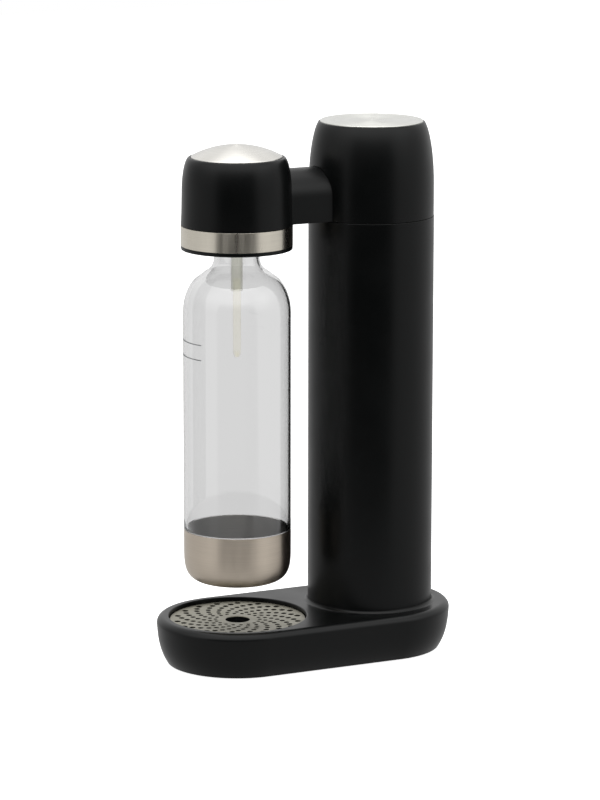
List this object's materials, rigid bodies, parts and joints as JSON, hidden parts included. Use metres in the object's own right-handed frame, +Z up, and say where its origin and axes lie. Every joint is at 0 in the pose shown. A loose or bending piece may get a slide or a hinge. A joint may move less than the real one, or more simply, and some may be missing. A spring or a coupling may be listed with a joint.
{
  "type": "sparkling water maker",
  "caption": "Free-standing manual carbonator: a round column on a long rounded base, with an arm to a push-button head over a screw-in bottle and a drip tray.",
  "frame": {"origin": "on the table, midway between the bottle's axis and the column's axis, under the centre of the base", "axes": "+Z up along the column, +Y from the bottle towards the column, +X to the right of someone who faces the bottle"},
  "size_m": [0.1248, 0.239, 0.415],
  "materials": {
    "black_abs": "satin moulded black",
    "matt_black": "matt moulded black",
    "rubber": "matt black",
    "brushed_steel": "brushed",
    "dark_nylon": "moulded dark grey",
    "zinc_steel": "bright zinc plate",
    "brass": "turned",
    "cylinder_aluminium": "painted",
    "clear_pet": "clear blown",
    "milky_nylon": "translucent"
  },
  "bodies": {
    "machine": {"base_housing": "black_abs", "base_plate": "matt_black", "foot_pad_1": "rubber", "foot_pad_2": "rubber", "foot_pad_3": "rubber", "foot_pad_4": "rubber", "base_screw_1": "zinc_steel", "base_screw_2": "zinc_steel", "base_screw_3": "zinc_steel", "base_screw_4": "zinc_steel", "column_tube": "black_abs", "inner_frame": "dark_nylon", "cylinder_seal": "rubber", "valve_block": "zinc_steel", "lever_pin": "zinc_steel", "lever_bracket": "zinc_steel", "bracket_screw_1": "zinc_steel", "bracket_screw_2": "zinc_steel", "column_cap": "black_abs", "cap_disc": "brushed_steel", "arm_shell": "black_abs", "arm_beam": "zinc_steel", "arm_screw_1": "zinc_steel", "arm_screw_2": "zinc_steel", "arm_screw_3": "zinc_steel", "arm_screw_4": "zinc_steel", "gas_hose": "milky_nylon", "hose_nut_1": "brass", "hose_nut_2": "brass", "head_shell": "black_abs", "head_ring": "brushed_steel", "bottle_socket": "matt_black", "bottle_seal": "rubber", "nozzle_holder": "dark_nylon", "nozzle_nut": "dark_nylon", "relief_valve": "brass", "button_guide": "matt_black", "guide_screw_1": "zinc_steel", "guide_screw_2": "zinc_steel", "button_spring": "zinc_steel"},
    "bottle": {"bottle_body": "clear_pet", "bottle_cup": "brushed_steel"},
    "cup": {"drip_cup": "matt_black"},
    "grille": {"drip_grille": "brushed_steel"},
    "button": {"button_cap": "brushed_steel", "button_carrier": "matt_black"},
    "lever": {"lever": "zinc_steel"},
    "pusher": {"valve_pusher": "zinc_steel"},
    "nozzle": {"nozzle_tube": "dark_nylon", "nozzle_tip": "milky_nylon"},
    "cylinder": {"co2_cylinder": "cylinder_aluminium", "cylinder_valve": "brass"},
    "door": {"cylinder_door": "matt_black"}
  },
  "joints": [
    {"name": "button_press", "type": "slide", "parent": "machine", "child": "button", "axis": [0, 0, -1], "range_m": [0, 0.006], "stiffness_N_per_m": 500, "springref_m": -0.006, "deforming": ["button_spring"]},
    {"name": "lever_tilt", "type": "hinge", "parent": "machine", "child": "lever", "pos_m": [0, 0.088, 0.369], "axis": [1, 0, 0], "range_deg": [0, 2.4]},
    {"name": "valve_push", "type": "slide", "parent": "machine", "child": "pusher", "axis": [0, 0, -1], "range_m": [0, 0.0013]},
    {"name": "bottle_lower", "type": "slide", "parent": "machine", "child": "bottle", "axis": [0, 0, -1], "range_m": [0, 0.016]},
    {"name": "nozzle_swing", "type": "hinge", "parent": "machine", "child": "nozzle", "pos_m": [0, -0.057, 0.336], "axis": [-1, 0, 0], "range_deg": [0, 8]},
    {"name": "cup_lift", "type": "slide", "parent": "machine", "child": "cup", "axis": [0, 0, 1], "range_m": [0, 0.008]},
    {"name": "grille_lift", "type": "slide", "parent": "cup", "child": "grille", "axis": [0, 0, 1], "range_m": [0, 0.005]},
    {"name": "cylinder_unscrew", "type": "hinge", "parent": "machine", "child": "cylinder", "pos_m": [0, 0.057, 0.315], "axis": [0, 0, -1], "continuous": true},
    {"name": "door_twist", "type": "hinge", "parent": "machine", "child": "door", "pos_m": [0, 0.057, 0.005], "axis": [0, 0, 1], "range_deg": [0, 40]}
  ],
  "couplings": [
    {"joint": "lever_tilt", "follows": "button_press", "rad_per_m": 6.8966},
    {"joint": "valve_push", "follows": "button_press", "ratio": 0.21379}
  ]
}
